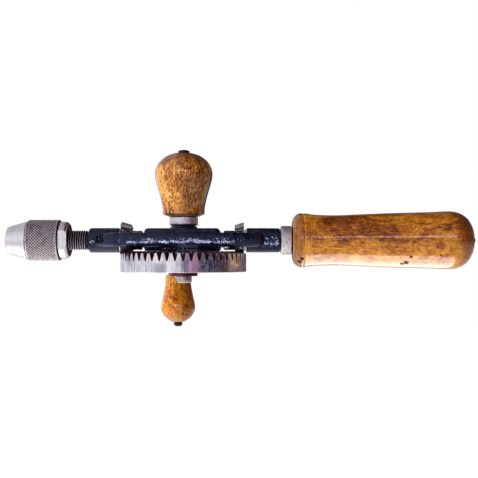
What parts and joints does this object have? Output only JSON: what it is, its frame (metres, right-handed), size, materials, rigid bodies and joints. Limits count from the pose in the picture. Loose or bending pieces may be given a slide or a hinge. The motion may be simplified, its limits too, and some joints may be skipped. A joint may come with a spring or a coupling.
{
  "type": "hand drill",
  "caption": "Hand-cranked geared drill: cast frame, large bevel gear with crank, opposed pinions, keyless jaw chuck with knurled sleeve, turned wooden main, side and crank handles.",
  "frame": {"origin": "crossing of the spindle axis and the gear axis", "axes": "+X along the spindle towards the main handle, +Z along the gear axis towards the side handle, -Y is the side shown"},
  "size_m": [0.3141, 0.111, 0.1233],
  "materials": {
    "frame_enamel": "glossy enamel over cast iron",
    "handle_wood": "varnished turned hardwood",
    "knob_wood": "orange varnished turned hardwood",
    "dark_steel": "blackened steel",
    "bright_steel": "turned steel",
    "cast_aluminium": "rough cast",
    "gear_plate": "nickel plated rim and teeth",
    "crank_enamel": "dark red enamel",
    "pinion_steel": "cut steel, oiled",
    "chuck_steel": "satin turned nose, knurled band",
    "jaw_steel": "ground hardened steel"
  },
  "bodies": {
    "frame": {"frame_casting": "frame_enamel", "handle_rod": "dark_steel", "handle_ferrule": "cast_aluminium", "main_handle": "handle_wood", "side_handle_stud": "dark_steel", "side_handle_ferrule": "cast_aluminium", "side_handle_knob": "handle_wood", "gear_axle_screw": "bright_steel", "gear_thrust_washer": "bright_steel", "idler_axle": "bright_steel", "idler_thrust_washer": "bright_steel", "drive_thrust_washer": "bright_steel"},
    "crank": {"drive_gear": "gear_plate", "crank_arm": "crank_enamel", "crank_rivet_1": "bright_steel", "crank_rivet_2": "bright_steel", "crank_knob_pin": "dark_steel"},
    "crank_knob": {"crank_knob": "knob_wood"},
    "spindle": {"spindle": "dark_steel", "drive_pinion": "pinion_steel", "drive_pinion_pin": "bright_steel", "chuck_body": "chuck_steel"},
    "idler": {"idler_pinion": "pinion_steel"},
    "chuck_sleeve": {"chuck_sleeve": "chuck_steel", "chuck_nut": "dark_steel"},
    "jaw_1": {"chuck_jaw_1": "jaw_steel"},
    "jaw_2": {"chuck_jaw_2": "jaw_steel"},
    "jaw_3": {"chuck_jaw_3": "jaw_steel"}
  },
  "joints": [
    {"name": "crank_turn", "type": "hinge", "parent": "frame", "child": "crank", "pos_m": [0, 0, -0.015], "axis": [0, 0, 1], "continuous": true},
    {"name": "crank_knob_spin", "type": "hinge", "parent": "crank", "child": "crank_knob", "pos_m": [-0.00793, 0.05645, -0.0243], "axis": [0, 0, 1], "continuous": true},
    {"name": "spindle_turn", "type": "hinge", "parent": "frame", "child": "spindle", "pos_m": [-0.05, 0, 0], "axis": [1, 0, 0], "continuous": true},
    {"name": "idler_turn", "type": "hinge", "parent": "frame", "child": "idler", "pos_m": [0.035, 0, 0], "axis": [1, 0, 0], "continuous": true},
    {"name": "sleeve_turn", "type": "hinge", "parent": "spindle", "child": "chuck_sleeve", "pos_m": [-0.1, 0, 0], "axis": [1, 0, 0], "range_deg": [0, 2540]},
    {"name": "jaw_1_slide", "type": "slide", "parent": "spindle", "child": "jaw_1", "axis": [-0.9659, 0, -0.2588], "range_m": [0, 0.0106]},
    {"name": "jaw_2_slide", "type": "slide", "parent": "spindle", "child": "jaw_2", "axis": [-0.9659, 0.2241, 0.1294], "range_m": [0, 0.0106]},
    {"name": "jaw_3_slide", "type": "slide", "parent": "spindle", "child": "jaw_3", "axis": [-0.9659, -0.2241, 0.1294], "range_m": [0, 0.0106]}
  ],
  "couplings": [
    {"joint": "spindle_turn", "follows": "crank_turn", "ratio": -4},
    {"joint": "idler_turn", "follows": "crank_turn", "ratio": 4},
    {"joint": "jaw_1_slide", "follows": "sleeve_turn", "m_per_rad": 0.00023873},
    {"joint": "jaw_2_slide", "follows": "sleeve_turn", "m_per_rad": 0.00023873},
    {"joint": "jaw_3_slide", "follows": "sleeve_turn", "m_per_rad": 0.00023873}
  ]
}
